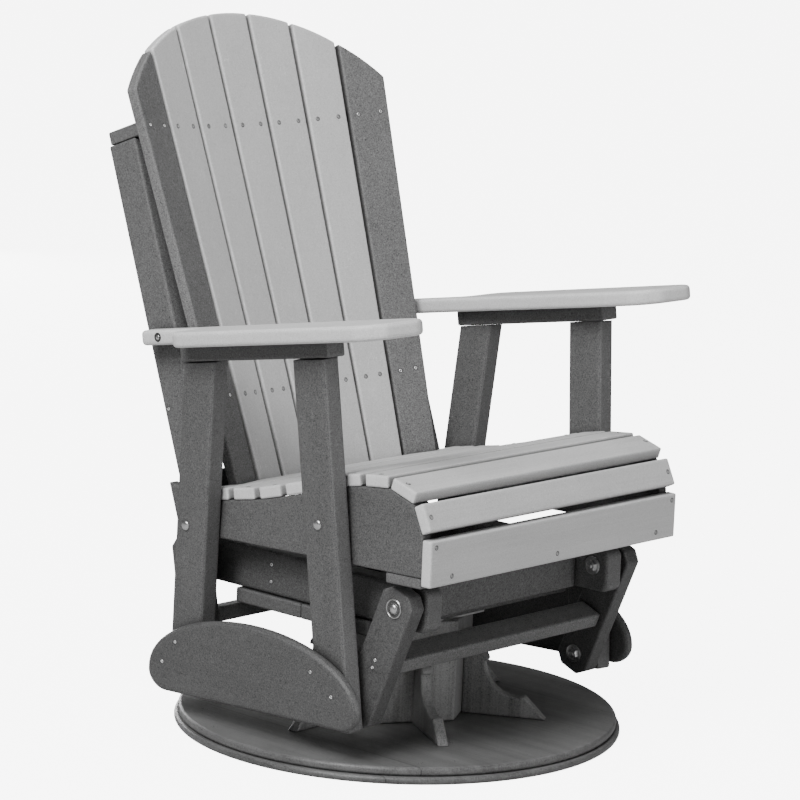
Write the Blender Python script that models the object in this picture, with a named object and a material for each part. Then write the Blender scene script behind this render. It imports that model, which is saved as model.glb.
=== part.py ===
"""Adirondack chair on a gliding linkage, on a round swivel base.

The chair faces -Y and the sitter's right hand is at -X. The origin is the centre of the
base's underside, where the swivel's vertical axis meets the floor.
"""
import math

import bmesh
import bpy
from mathutils import Matrix, Vector

# Base: two stacked discs, a six-sided column and six brackets
base_radius = 0.381
base_lower_thickness = 0.0127
base_upper_thickness = 0.0145
base_upper_step = 0.0065
base_edge_round = 0.0055
column_radius = 0.130
column_top_height = 0.201
column_edge = 0.003
bracket_reach = 0.258
bracket_thickness = 0.019
bracket_height = 0.1125
bracket_nose_reach = 0.0255
bracket_nose_radius = 0.018
bracket_nose_step = 0.006
bracket_hollow_radius = 0.060
bracket_toe_height = 0.038
bracket_count = 6

# Swivel bearing: two steel plates with raised rings that turn on each other
bearing_size = 0.228
bearing_corner = 0.030
bearing_plate_thickness = 0.003
bearing_ring_radius = 0.094
bearing_ring_width = 0.016
bearing_stack_height = 0.0172
bearing_hole_radius = 0.060

# Carriage that turns on the bearing and carries the upper pivots
platform_board_width = 0.1515
platform_board_thickness = 0.0254
platform_overhang = 0.0040
platform_rear_y = 0.148
side_board_link_gap = 0.0090
side_board_thickness = 0.040
side_board_height = 0.074
side_board_front_overhang = 0.033
side_board_rear_overhang = 0.034
side_board_nose = 0.015
side_board_edge = 0.0070
cross_board_thickness = 0.0254
cross_board_front_y = -0.1963
cross_board_rear_y = 0.083

# Gliding linkage
link_length = 0.190
link_width = 0.068
link_end = 0.0315
link_corner = 0.016
link_thickness = 0.0315
link_leg_gap = 0.0090
link_front_angle_deg = 21.9
link_rear_angle_deg = 10.7
upper_pivot_drop = 0.030
upper_pivot_front_y = -0.245
lower_pivot_rear_y = 0.1975
pivot_radius = 0.0050
pivot_clearance = 0.0005
open_pivot_clearance = 0.0030
pivot_depth = 0.024
link_bar_height = 0.0254
link_bar_depth = 0.0445
link_bar_share = 0.565

# Side frames: two legs, a bowed side panel and an arm support, all leaning outwards
frame_lean_deg = 2.8
frame_inner_x = 0.3111
frame_level_rise = 0.1015
leg_thickness = 0.0360
leg_width = 0.070
leg_edge = 0.0050
leg_foot_drop = 0.0322
leg_front_foot_set = 0.0121
leg_rear_foot_set = 0.0115
leg_front_lean_deg = 5.4
leg_rear_lean_deg = -4.4
panel_thickness = 0.0190
panel_edge = 0.0085
panel_overhang = 0.0685
panel_rise = 0.110
panel_drop = 0.034
panel_heel_radius = 0.040
panel_tilt_deg = 2.7
support_thickness = 0.0262
support_inner_overhang = 0.0045
support_front_y = -0.150
support_rear_y = 0.182

# Arms: broad paddles that slope down to a narrow tail at the back
arm_slope_deg = 9.2
arm_thickness = 0.0255
arm_under_front_rise = 0.3650
arm_under_front_y = -0.141
arm_inset = 0.0491
arm_reach = 0.1009
arm_front_y = -0.2890
arm_rear_y = 0.3135
arm_tail_width = 0.0424
arm_tail_shoulder_y = 0.205
arm_waist_y = 0.132
arm_crease_y = -0.145
arm_outer_corner = 0.047
arm_inner_corner = 0.050
arm_rear_corner = 0.035
arm_tail_fillet = 0.014
arm_tail_corner = 0.014
arm_edge = 0.0065

# Seat: two side rails, nine slats, an apron and a flat board across the front
rail_thickness = 0.0190
rail_bottom_front_rise = 0.0350
rail_bottom_rear_rise = 0.0165
rail_rear_overhang = 0.0585
rail_rear_height = 0.0770
rail_front_set = 0.0174
seat_slat_thickness = 0.0200
seat_slat_width = 0.0490
seat_slat_gap = 0.0120
seat_slat_tilts_deg = (10.4, 10.4, 14.8, 15.9, 17.4, 11.0, 5.7)
seat_rear_y = 0.1654
seat_rear_rise = 0.0979
seat_slat_overhang = 0.0014
seat_slat_back_gap = 0.0030
nose_slat_set = 0.0124
nose_slat_drop = 0.0010
nose_slat_width = 0.0525
nose_slat_angle_deg = -17.7
front_slat_set = 0.0134
front_slat_drop = 0.0145
front_slat_width = 0.0465
front_slat_angle_deg = -65.0
apron_height = 0.0753
apron_thickness = 0.0200
apron_top_drop = 0.0152
front_board_depth = 0.0760
front_board_thickness = 0.0175
back_foot_rail_width = 0.064
back_foot_rail_thickness = 0.0254

# Back: seven fanned slats on two hollowed rails, held by two braces
back_recline_deg = 19.7
back_foot_set = 0.0341
back_foot_lift = 0.0181
back_bow_radius = 0.875
back_slat_count = 7
back_slat_thickness = 0.0190
back_slat_gap = 0.0064
back_side_gap = 0.0209
back_fan_growth = 0.0114
back_low_row = 0.120
back_high_row = 0.585
back_bottom = -0.060
back_crown = 0.7860
back_shoulder = 0.6440
back_rail_thickness = 0.0222
back_rail_depth = 0.0512
back_rail_overhang = 0.0012
brace_thickness = 0.0315
brace_width = 0.0660
brace_setback = 0.0155
brace_foot = -0.045

# Fits and finishing
gap = 0.0003
board_edge = 0.0030
thin_edge = 0.0022
edge_segments = 2
cut_overrun = 0.020
arc_step_deg = 9.0
disc_segments = 96
ring_segments = 48
pin_segments = 20
bow_segments = 30
broad_edge_segments = 3
crown_segments = 6

RIGHT, LEFT = -1, 1
SIDE_NAMES = {RIGHT: "right", LEFT: "left"}


def clear_scene():
    """Remove every object that the file starts with."""
    for item in list(bpy.data.objects):
        bpy.data.objects.remove(item, do_unlink=True)


def make_material(name, colour, roughness, metallic):
    """One Principled material with a plain colour."""
    material = bpy.data.materials.new(name)
    material.use_nodes = True
    shader = material.node_tree.nodes["Principled BSDF"]
    shader.inputs["Base Color"].default_value = (*colour, 1.0)
    shader.inputs["Roughness"].default_value = roughness
    shader.inputs["Metallic"].default_value = metallic
    return material


def arc(centre, radius, start_deg, end_deg):
    """Points along an arc, both ends included."""
    steps = max(2, round(abs(end_deg - start_deg) / arc_step_deg))
    turn = (end_deg - start_deg) / steps
    angles = [math.radians(start_deg + turn * k) for k in range(steps + 1)]
    return [(centre[0] + radius * math.cos(a), centre[1] + radius * math.sin(a)) for a in angles]


def rectangle(low, high):
    """Corners of an upright rectangle, anticlockwise."""
    return [low, (high[0], low[1]), high, (low[0], high[1])]


PLANES = {
    "XY": lambda a, b, c: (a, b, c),
    "XZ": lambda a, b, c: (a, c, b),
    "YZ": lambda a, b, c: (c, a, b),
}


def prism(name, outline, span, plane, material):
    """Extrude an outline in one plane through a span of the third axis."""
    mesh = bpy.data.meshes.new(name)
    work = bmesh.new()
    low, high = min(span), max(span)
    corners = [work.verts.new(PLANES[plane](a, b, low)) for a, b in outline]
    face = work.faces.new(corners)
    grown = bmesh.ops.extrude_face_region(work, geom=[face])
    moved = [item for item in grown["geom"] if isinstance(item, bmesh.types.BMVert)]
    shift = Vector(PLANES[plane](0, 0, high - low))
    bmesh.ops.translate(work, verts=moved, vec=shift)
    bmesh.ops.recalc_face_normals(work, faces=work.faces)
    work.to_mesh(mesh)
    work.free()
    return add_object(name, mesh, material)


def add_object(name, mesh, material):
    """Link a mesh as a named object with its own copy of a material."""
    own = material.copy()
    own.name = name + "_finish"
    mesh.materials.append(own)
    item = bpy.data.objects.new(name, mesh)
    bpy.context.scene.collection.objects.link(item)
    return item


def ease_edges(item, width, segments=edge_segments):
    """Round an object's sharp edges, as a router does."""
    bevel = item.modifiers.new("eased_edges", "BEVEL")
    bevel.width = width
    bevel.segments = segments
    bevel.limit_method = "ANGLE"
    bevel.angle_limit = math.radians(40)
    item.data.shade_smooth()
    item.data.set_sharp_from_angle(angle=math.radians(35))


def cut(item, cutter):
    """Take one object's volume out of another."""
    tool = item.modifiers.new("cut", "BOOLEAN")
    tool.operation = "DIFFERENCE"
    tool.solver = "EXACT"
    tool.object = cutter
    cutter.hide_render = True
    cutter.display_type = "WIRE"


def join(item, extra):
    """Fuse one object's volume onto another."""
    tool = item.modifiers.new("join", "BOOLEAN")
    tool.operation = "UNION"
    tool.solver = "EXACT"
    tool.object = extra
    extra.hide_render = True
    extra.display_type = "WIRE"


def rod(name, radius, x_span, y, z, sides=pin_segments):
    """A round bar along X, used as a pivot or as a cutter."""
    circle = [(y + radius * math.cos(2 * math.pi * k / sides),
               z + radius * math.sin(2 * math.pi * k / sides)) for k in range(sides)]
    bar = prism(name, circle, x_span, "YZ", finishes["steel"])
    bar.data.shade_smooth()
    return bar


def empty_at(name, place):
    """An empty that marks a joint's axis."""
    mark = bpy.data.objects.new(name, None)
    bpy.context.scene.collection.objects.link(mark)
    mark.location = place
    bpy.context.view_layer.update()
    return mark


def attach(item, parent):
    """Parent an object to an empty without moving it."""
    item.parent = parent
    item.matrix_parent_inverse = parent.matrix_world.inverted()


# Heights worked out from the base upwards, and the places of the pivots
base_top = base_lower_thickness + gap + base_upper_thickness
bearing_top = column_top_height + gap + bearing_stack_height
platform_bottom = bearing_top + gap
platform_top = platform_bottom + platform_board_thickness
side_board_bottom = platform_top + gap
side_board_top = side_board_bottom + side_board_height
column_flat = column_radius * math.cos(math.pi / bracket_count)
link_front_angle = math.radians(link_front_angle_deg)
link_rear_angle = math.radians(link_rear_angle_deg)
upper_pivot_height = side_board_top - upper_pivot_drop
lower_pivot_front = Vector((0, upper_pivot_front_y + link_length * math.sin(link_front_angle),
                            upper_pivot_height - link_length * math.cos(link_front_angle)))
upper_pivot_front = Vector((0, upper_pivot_front_y, upper_pivot_height))
upper_pivot_rear = Vector((0, lower_pivot_rear_y + link_length * math.sin(link_rear_angle),
                           upper_pivot_height))
lower_pivot_rear = Vector((0, lower_pivot_rear_y,
                           upper_pivot_height - link_length * math.cos(link_rear_angle)))
side_board_front_y = upper_pivot_front_y - side_board_front_overhang
side_board_rear_y = upper_pivot_rear.y + side_board_rear_overhang

# The seat body's places, worked out from the pivots and from the side boards' top
recline = math.radians(back_recline_deg)
rear_slat_tilt = math.radians(seat_slat_tilts_deg[0])
arm_slope = math.radians(arm_slope_deg)
frame_lean = math.radians(frame_lean_deg)
frame_level_z = side_board_top + frame_level_rise
leg_foot_height = lower_pivot_front.z - leg_foot_drop
leg_front_foot_y = lower_pivot_front.y + leg_front_foot_set
leg_rear_foot_y = lower_pivot_rear.y - leg_rear_foot_set
panel_centre_y = (leg_front_foot_y + leg_rear_foot_y) / 2
panel_centre_z = lower_pivot_front.z
panel_half_length = (leg_rear_foot_y - leg_front_foot_y) / 2 + panel_overhang
arm_under_front_z = side_board_top + arm_under_front_rise
rail_bottom_front_z = side_board_top + rail_bottom_front_rise
rail_bottom_rear_z = side_board_top + rail_bottom_rear_rise
rail_rear_top_z = rail_bottom_rear_z + rail_rear_height
seat_rear_top_z = side_board_top + seat_rear_rise
back_foot_y = seat_rear_y + back_foot_set
back_foot_z = seat_rear_top_z + back_foot_lift
rail_rear_y = back_foot_y + rail_rear_overhang



def flat_slat_edges():
    """Rear and front top edges of the flat slats, walked forwards along the hollowed seat."""
    edges = []
    y, z = seat_rear_y, seat_rear_top_z
    tilts = [math.radians(tilt) for tilt in seat_slat_tilts_deg]
    for tilt, following in zip(tilts, tilts[1:] + tilts[-1:]):
        front = (y - seat_slat_width * math.cos(tilt), z + seat_slat_width * math.sin(tilt))
        edges.append(((y, z), front))
        between = (tilt + following) / 2
        y = front[0] - seat_slat_gap * math.cos(between)
        z = front[1] + seat_slat_gap * math.sin(between)
    return edges


flat_front_y, flat_front_z = flat_slat_edges()[-1][1]
nose_slat_y = flat_front_y - nose_slat_set
nose_slat_z = flat_front_z - nose_slat_drop
nose_tilt, front_tilt = math.radians(nose_slat_angle_deg), math.radians(front_slat_angle_deg)
front_slat_y = nose_slat_y - nose_slat_width * math.cos(nose_tilt) - front_slat_set
front_slat_z = nose_slat_z + nose_slat_width * math.sin(nose_tilt) - front_slat_drop
rail_front_y = front_slat_y - front_slat_width * math.cos(front_tilt) + rail_front_set
apron_top_z = front_slat_z + front_slat_width * math.sin(front_tilt) - apron_top_drop


def leg_face_at(height):
    """How far out the legs' inner faces stand at a height."""
    return frame_inner_x - (frame_level_z - height) * math.tan(frame_lean)


# Places across the chair, worked out from the legs inwards and outwards
link_inner_x = leg_face_at(lower_pivot_front.z) - link_leg_gap - link_thickness
side_board_outer_x = link_inner_x - side_board_link_gap
platform_half_width = side_board_outer_x + platform_overhang
rail_outer_x = leg_face_at(rail_bottom_rear_z) - gap
rail_inner_x = rail_outer_x - rail_thickness
seat_half_length = rail_outer_x + seat_slat_overhang
brace_outer_x = rail_inner_x - gap
back_rail_half_length = brace_outer_x + back_rail_overhang
back_pitch_low = (rail_inner_x - back_side_gap) / (back_slat_count / 2)
back_pitch_high = back_pitch_low + back_fan_growth
arm_inner_x = frame_inner_x - arm_inset
arm_outer_x = frame_inner_x + arm_reach
arm_tail_inner_x = brace_outer_x + gap
arm_tail_outer_x = arm_tail_inner_x + arm_tail_width


def make_base():
    """Discs, column and brackets that stand on the floor."""
    dark = finishes["dark_board"]
    turned_disc("base_lower_disc", base_radius, 0, base_lower_thickness, dark)
    turned_disc("base_upper_disc", base_radius - base_upper_step,
                base_lower_thickness + gap, base_top, dark)
    side_turn = 2 * math.pi / bracket_count
    corners = [(column_radius * math.cos(side_turn * (k + 0.5)),
                column_radius * math.sin(side_turn * (k + 0.5))) for k in range(bracket_count)]
    column = prism("base_column", corners, (base_top + gap, column_top_height), "XY", dark)
    ease_edges(column, column_edge)
    for k in range(bracket_count):
        make_bracket(k, side_turn * k, dark)


def turned_disc(name, radius, bottom, top, material):
    """A disc with rounded rims, turned from its half section."""
    rounding = min(base_edge_round, (top - bottom) / 2)
    section = [(0, top)]
    section += reversed(arc((radius - rounding, top - rounding), rounding, 0, 90))
    section += reversed(arc((radius - rounding, bottom + rounding), rounding, -90, 0))
    section += [(0, bottom)]
    mesh = bpy.data.meshes.new(name)
    work = bmesh.new()
    points = [work.verts.new((r, 0, z)) for r, z in section]
    edges = [work.edges.new(pair) for pair in zip(points, points[1:])]
    bmesh.ops.spin(work, geom=points + edges, cent=(0, 0, 0), axis=(0, 0, 1),
                   angle=2 * math.pi, steps=disc_segments, use_merge=True)
    bmesh.ops.remove_doubles(work, verts=work.verts, dist=gap / 10)
    bmesh.ops.recalc_face_normals(work, faces=work.faces)
    work.to_mesh(mesh)
    work.free()
    item = add_object(name, mesh, material)
    item.data.shade_smooth()
    item.data.set_sharp_from_angle(angle=math.radians(35))
    return item


def make_bracket(index, turn, material):
    """A bracket with a nosed top, a hollow curve and a sloped toe, in its own radial plane."""
    inner = column_flat + gap
    bottom = base_top + gap
    top = bottom + bracket_height
    nose_tip = inner + bracket_nose_reach + bracket_nose_radius
    hollow_centre = (nose_tip - bracket_nose_step + bracket_hollow_radius, top - bracket_nose_radius)
    toe_top = bottom + bracket_toe_height
    hollow_low = hollow_centre[1] - bracket_hollow_radius
    toe_inner = bracket_reach - (toe_top - bottom)
    outline = [(inner, bottom), (bracket_reach, bottom), (toe_inner, toe_top)]
    outline += [(hollow_centre[0], hollow_low)]
    outline += list(reversed(arc(hollow_centre, bracket_hollow_radius, 180, 270)))[1:]
    outline += arc((nose_tip - bracket_nose_radius, top - bracket_nose_radius),
                   bracket_nose_radius, 0, 90)
    outline += [(inner, top)]
    item = prism("base_bracket_%d" % (index + 1), outline,
                 (-bracket_thickness / 2, bracket_thickness / 2), "XZ", material)
    ease_edges(item, thin_edge)
    item.rotation_euler = (0, 0, turn)


def make_bearing(name, bottom, flip):
    """A square steel plate with clipped corners, a centre hole and a raised ring."""
    half = bearing_size / 2
    clip = half - bearing_corner
    outline = [(half, -clip), (half, clip), (clip, half), (-clip, half),
               (-half, clip), (-half, -clip), (-clip, -half), (clip, -half)]
    plate_low = bottom if not flip else bottom - bearing_plate_thickness
    plate_high = plate_low + bearing_plate_thickness
    item = prism(name, outline, (plate_low, plate_high), "XY", finishes["steel"])
    middle = (column_top_height + gap + bearing_top) / 2
    ring_edge = middle - gap / 2 if not flip else middle + gap / 2
    outer = ring_mesh(name + "_ring", bearing_ring_radius, bearing_ring_width,
                      plate_low + bearing_plate_thickness / 2, ring_edge)
    join(item, outer)
    hole = ring_circle(name + "_hole", bearing_hole_radius, plate_low, plate_high)
    cut(item, hole)
    return item


def ring_circle(name, radius, low, high, sides=ring_segments):
    """A round cutter that passes through a plate."""
    circle = [(radius * math.cos(2 * math.pi * k / sides),
               radius * math.sin(2 * math.pi * k / sides)) for k in range(sides)]
    return prism(name, circle, (low - cut_overrun, high + cut_overrun), "XY", finishes["steel"])


def ring_mesh(name, radius, width, low, high):
    """A flat ring, turned from its rectangular section."""
    mesh = bpy.data.meshes.new(name)
    work = bmesh.new()
    inner, outer = radius - width / 2, radius + width / 2
    section = rectangle((inner, min(low, high)), (outer, max(low, high)))
    points = [work.verts.new((r, 0, z)) for r, z in section]
    edges = [work.edges.new((points[k], points[(k + 1) % 4])) for k in range(4)]
    bmesh.ops.spin(work, geom=points + edges, cent=(0, 0, 0), axis=(0, 0, 1),
                   angle=2 * math.pi, steps=ring_segments, use_merge=True)
    bmesh.ops.remove_doubles(work, verts=work.verts, dist=gap / 10)
    bmesh.ops.recalc_face_normals(work, faces=work.faces)
    work.to_mesh(mesh)
    work.free()
    return add_object(name, mesh, finishes["steel"])


def make_carriage():
    """Platform boards, side boards and cross boards that turn on the bearing."""
    dark = finishes["dark_board"]
    pieces = [make_bearing("bearing_upper_plate", bearing_top, True)]
    rear = platform_rear_y
    for name in ("platform_board_rear", "platform_board_front"):
        front = rear - platform_board_width
        outline = rectangle((-platform_half_width, front), (platform_half_width, rear))
        board = prism(name, outline, (platform_bottom, platform_top), "XY", dark)
        ease_edges(board, board_edge)
        pieces.append(board)
        rear = front - gap
    for side in (RIGHT, LEFT):
        pieces.append(make_side_board(side, dark))
    inner = side_board_outer_x - side_board_thickness - gap
    for name, centre in (("carriage_cross_front", cross_board_front_y),
                         ("carriage_cross_rear", cross_board_rear_y)):
        half = cross_board_thickness / 2
        outline = rectangle((-inner, side_board_bottom), (inner, side_board_top))
        board = prism(name, outline, (centre - half, centre + half), "XZ", dark)
        ease_edges(board, board_edge)
        pieces.append(board)
    return pieces


def make_side_board(side, material):
    """A thick board with rounded ends and two bores for the links' upper pins."""
    nose = side_board_nose
    front, rear = side_board_front_y, side_board_rear_y
    bottom, top = side_board_bottom, side_board_top
    outline = arc((front + nose, bottom + nose), nose, 180, 270)
    outline += arc((rear - nose, bottom + nose), nose, 270, 360)
    outline += arc((rear - nose, top - nose), nose, 0, 90)
    outline += arc((front + nose, top - nose), nose, 90, 180)
    outer = side * side_board_outer_x
    inner = side * (side_board_outer_x - side_board_thickness)
    name = "carriage_side_" + SIDE_NAMES[side]
    item = prism(name, outline, (inner, outer), "YZ", material)
    ease_edges(item, side_board_edge, broad_edge_segments)
    for label, pivot in (("front", upper_pivot_front), ("rear", upper_pivot_rear)):
        reach = (outer - side * (pivot_depth + gap), outer + side * cut_overrun)
        bore = rod("%s_bore_%s" % (name, label), pivot_radius + pivot_clearance,
                   reach, pivot.y, pivot.z)
        cut(item, bore)
    return item


def make_link(side, end, material):
    """A swing arm with clipped corners and two pins, drawn about its upper pivot."""
    angle = link_front_angle if end == "front" else -link_rear_angle
    upper = upper_pivot_front if end == "front" else upper_pivot_rear
    half = link_width / 2
    low, high = -link_length - link_end, link_end
    clip = link_corner
    outline = [(half, high - clip), (half - clip, high), (clip - half, high), (-half, high - clip),
               (-half, low + clip), (clip - half, low), (half - clip, low), (half, low + clip)]
    inner = side * link_inner_x
    outer = side * (link_inner_x + link_thickness)
    name = "%s_link_%s" % (end, SIDE_NAMES[side])
    item = prism(name, outline, (inner, outer), "YZ", material)
    ease_edges(item, board_edge)
    carriage_reach = side * (side_board_outer_x - pivot_depth)
    upper_pin = rod(name + "_upper_pin", pivot_radius, (carriage_reach, inner + side * cut_overrun), 0, 0)
    lower = lower_pivot_front if end == "front" else lower_pivot_rear
    leg_reach = side * (leg_face_at(lower.z) + pivot_depth)
    lower_pin = rod(name + "_lower_pin", pivot_radius, (outer - side * cut_overrun, leg_reach),
                    0, -link_length)
    for pin in (upper_pin, lower_pin):
        join(item, pin)
        attach(pin, item)
    item.location = upper
    item.rotation_euler = (angle, 0, 0)
    return item


def make_links(end):
    """The pair of swing arms at one end and the bar that joins them."""
    dark = finishes["dark_board"]
    pieces = [make_link(side, end, dark) for side in (RIGHT, LEFT)]
    angle = link_front_angle if end == "front" else -link_rear_angle
    upper = upper_pivot_front if end == "front" else upper_pivot_rear
    centre = -link_length * link_bar_share
    half = link_inner_x - gap
    outline = rectangle((-half, -link_bar_depth / 2), (half, link_bar_depth / 2))
    span = (centre - link_bar_height / 2, centre + link_bar_height / 2)
    bar = prism(end + "_link_bar", outline, span, "XY", dark)
    ease_edges(bar, board_edge)
    bar.location = upper
    bar.rotation_euler = (angle, 0, 0)
    pieces.append(bar)
    return pieces


def side_frame(side):
    """The tilted frame in which one side's legs, panel and arm support are drawn."""
    lean = Matrix.Rotation(side * frame_lean, 4, "Y")
    return Matrix.Translation((side * frame_inner_x, 0, frame_level_z)) @ lean


def slope_height(y):
    """Height of the arm support's underside at a place along the chair."""
    return arm_under_front_z - (y - arm_under_front_y) * math.tan(arm_slope)


def spare_top(item):
    """Leave the edges round a leg's sawn top sharp, so that it meets the arm support squarely."""
    middle = sum(corner.co.z for corner in item.data.vertices) / len(item.data.vertices)
    weights = item.data.attributes.new("bevel_weight_edge", "FLOAT", "EDGE")
    for edge in item.data.edges:
        heights = [item.data.vertices[k].co.z for k in edge.vertices]
        weights.data[edge.index].value = 0 if min(heights) > middle else 1
    item.modifiers["eased_edges"].limit_method = "WEIGHT"


def make_leg(side, end, material):
    """A leg that leans along the chair, cut level at its foot and to the arm's slope on top."""
    foot_y = leg_front_foot_y if end == "front" else leg_rear_foot_y
    lean_deg = leg_front_lean_deg if end == "front" else leg_rear_lean_deg
    lean = math.radians(lean_deg)
    half = leg_width / 2 / math.cos(lean)
    foot = leg_foot_height

    def side_point(edge, bottom):
        """A corner of the leg where an edge meets the foot or the arm's slope."""
        start = foot_y + edge * half
        if bottom:
            return (start, foot)
        slope = math.tan(arm_slope)
        rise = (arm_under_front_z - gap - foot - (start - arm_under_front_y) * slope)
        height = rise / (1 + math.tan(lean) * slope)
        return (start + height * math.tan(lean), foot + height)

    corners = [side_point(-1, True), side_point(1, True), side_point(1, False), side_point(-1, False)]
    outline = [(y, z - frame_level_z) for y, z in corners]
    name = "%s_leg_%s" % (end, SIDE_NAMES[side])
    item = prism(name, outline, (0, side * leg_thickness), "YZ", material)
    ease_edges(item, leg_edge, broad_edge_segments)
    spare_top(item)
    item.matrix_world = side_frame(side)
    pivot = lower_pivot_front if end == "front" else lower_pivot_rear
    clearance = pivot_clearance if end == "front" else open_pivot_clearance
    face = leg_face_at(pivot.z)
    reach = (side * (face - cut_overrun), side * (face + pivot_depth + clearance))
    bore = rod(name + "_bore", pivot_radius + clearance, reach, pivot.y, pivot.z)
    cut(item, bore)
    return item


def make_panel(side, material):
    """The bowed board that ties the legs' feet together on their outside."""
    outline = []
    for k in range(bow_segments + 1):
        angle = math.pi * k / bow_segments
        outline.append((panel_half_length * math.cos(angle), panel_rise * math.sin(angle)))
    heel = panel_heel_radius
    squash_share = panel_drop / heel
    for centre, start, end in ((-panel_half_length + heel, 180, 270), (panel_half_length - heel, 270, 360)):
        for y, z in arc((centre, 0), heel, start, end)[(start == 180):]:
            outline.append((y, z * squash_share))
    outline = outline[:-1]
    tilt = math.radians(panel_tilt_deg)
    turned = []
    for y, z in outline:
        turned.append((panel_centre_y + y * math.cos(tilt) + z * math.sin(tilt),
                       panel_centre_z - y * math.sin(tilt) + z * math.cos(tilt) - frame_level_z))
    inner = side * (leg_thickness + gap)
    outer = side * (leg_thickness + gap + panel_thickness)
    item = prism("side_panel_" + SIDE_NAMES[side], turned, (inner, outer), "YZ", material)
    ease_edges(item, panel_edge, broad_edge_segments)
    item.matrix_world = side_frame(side)
    return item


def make_arm_support(side, material):
    """The board that lies on the tops of two legs and carries the arm."""
    length = (support_rear_y - support_front_y) / math.cos(arm_slope)
    edges = sorted((-side * support_inner_overhang, side * leg_thickness))
    outline = rectangle((edges[0], 0), (edges[1], length))
    item = prism("arm_support_" + SIDE_NAMES[side], outline, (0, support_thickness), "XY", material)
    ease_edges(item, board_edge)
    height = slope_height(support_front_y)
    spread = (height - frame_level_z) * math.tan(frame_lean)
    item.location = (side * (frame_inner_x + spread), support_front_y, height)
    item.rotation_euler = (-arm_slope, 0, 0)
    return item


def make_arm(side, material):
    """A paddle with round outer corners that narrows to a tail beside the back."""
    run = math.cos(arm_slope)
    front, rear = arm_front_y / run, arm_rear_y / run
    shoulder, waist, crease = arm_tail_shoulder_y / run, arm_waist_y / run, arm_crease_y / run
    outer_r, inner_r, tail_r = arm_outer_corner, arm_inner_corner, arm_tail_corner
    bend_r, fillet_r = arm_rear_corner, arm_tail_fillet
    outline = arc((arm_inner_x + inner_r, front + inner_r), inner_r, 180, 270)
    outline += arc((arm_outer_x - outer_r, front + outer_r), outer_r, 270, 360)
    outline += arc((arm_outer_x - bend_r, waist), bend_r, 0, 90)
    outline += arc((arm_tail_outer_x + fillet_r, waist + bend_r + fillet_r), fillet_r, 270, 180)
    outline += arc((arm_tail_outer_x - tail_r, rear - tail_r), tail_r, 0, 90)
    outline += [(arm_tail_inner_x, rear), (arm_tail_inner_x, shoulder), (arm_inner_x, crease)]
    outline = [(side * x, y) for x, y in outline]
    item = prism("arm_" + SIDE_NAMES[side], outline, (0, arm_thickness), "XY", material)
    ease_edges(item, arm_edge, broad_edge_segments)
    lift = (support_thickness + gap) / run
    item.location = (0, 0, slope_height(0) + lift)
    item.rotation_euler = (-arm_slope, 0, 0)
    return item


def slat_seats():
    """Middle, top height and tilt of each slat, from the rear to the apron."""
    places = []
    for (rear, front), tilt_deg in zip(flat_slat_edges(), seat_slat_tilts_deg):
        places.append(((rear[0] + front[0]) / 2, (rear[1] + front[1]) / 2, seat_slat_width, tilt_deg))
    for y, z, width, tilt_deg in (
            (nose_slat_y, nose_slat_z, nose_slat_width, nose_slat_angle_deg),
            (front_slat_y, front_slat_z, front_slat_width, front_slat_angle_deg)):
        tilt = math.radians(tilt_deg)
        places.append((y - math.cos(tilt) * width / 2, z + math.sin(tilt) * width / 2, width, tilt_deg))
    return places


def make_seat_slats(material):
    """Seven flat slats, a sloped nose, a steep front slat and the apron."""
    pieces = []
    for k, (y, z, width, tilt_deg) in enumerate(slat_seats()):
        name = "seat_slat_%d" % (k + 1)
        if k == 0:
            item = prism(name, rear_slat_outline(y, z), (-seat_slat_thickness, 0), "XY", material)
        else:
            outline = rectangle((-width / 2, -seat_slat_thickness), (width / 2, 0))
            item = prism(name, outline, (-seat_half_length, seat_half_length), "YZ", material)
        ease_edges(item, board_edge)
        item.location = (0, y, z)
        item.rotation_euler = (-math.radians(tilt_deg), 0, 0)
        pieces.append(item)
    front = rail_front_y - gap
    outline = rectangle((front - apron_thickness, apron_top_z - apron_height), (front, apron_top_z))
    apron = prism("seat_apron", outline, (-seat_half_length, seat_half_length), "YZ", material)
    ease_edges(apron, board_edge)
    pieces.append(apron)
    return pieces


def rear_slat_outline(middle_y, middle_z):
    """Outline of the rearmost slat, hollowed where the fanned back comes down in front of it."""
    half = seat_slat_width / 2
    bottom = middle_z - (half * math.sin(rear_slat_tilt) + seat_slat_thickness)
    centre = back_slat_count // 2
    row = (bottom - back_foot_z) / math.cos(recline)
    edge = []
    for k in range(back_slat_count):
        reach = (slat_pitch(row) - back_slat_gap) / 2
        for offset in (-reach, reach):
            across, forward = bow_point((k - centre) * slat_pitch(row) + offset, row, k - centre, 0)
            rear = back_foot_y - (back_foot_z - bottom) * math.tan(recline) - forward / math.cos(recline)
            local = (rear - seat_slat_back_gap - middle_y) / math.cos(rear_slat_tilt)
            edge.append((across, min(half, local)))
    row_above = (middle_z + half * math.sin(rear_slat_tilt) - back_foot_z) / math.cos(recline)
    outermost = (centre + 0.5) * slat_pitch(row_above) - back_slat_gap / 2
    notch = bow_point(outermost, row_above, centre, -back_slat_thickness)[0] + seat_slat_back_gap
    edge = [(-notch, half), (-notch, edge[0][1])] + edge + [(notch, edge[-1][1]), (notch, half)]
    edge = thin_out(edge, half)
    return [(seat_half_length, half), (seat_half_length, -half), (-seat_half_length, -half),
            (-seat_half_length, half)] + edge


def thin_out(points, limit):
    """Drop the points that lie inside a straight run at the limit."""
    kept = []
    for k, point in enumerate(points):
        near = points[max(0, k - 1)], points[min(len(points) - 1, k + 1)]
        if all(abs(other[1] - limit) < gap / 10 for other in (*near, point)) and 0 < k < len(points) - 1:
            continue
        kept.append(point)
    return kept


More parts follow.
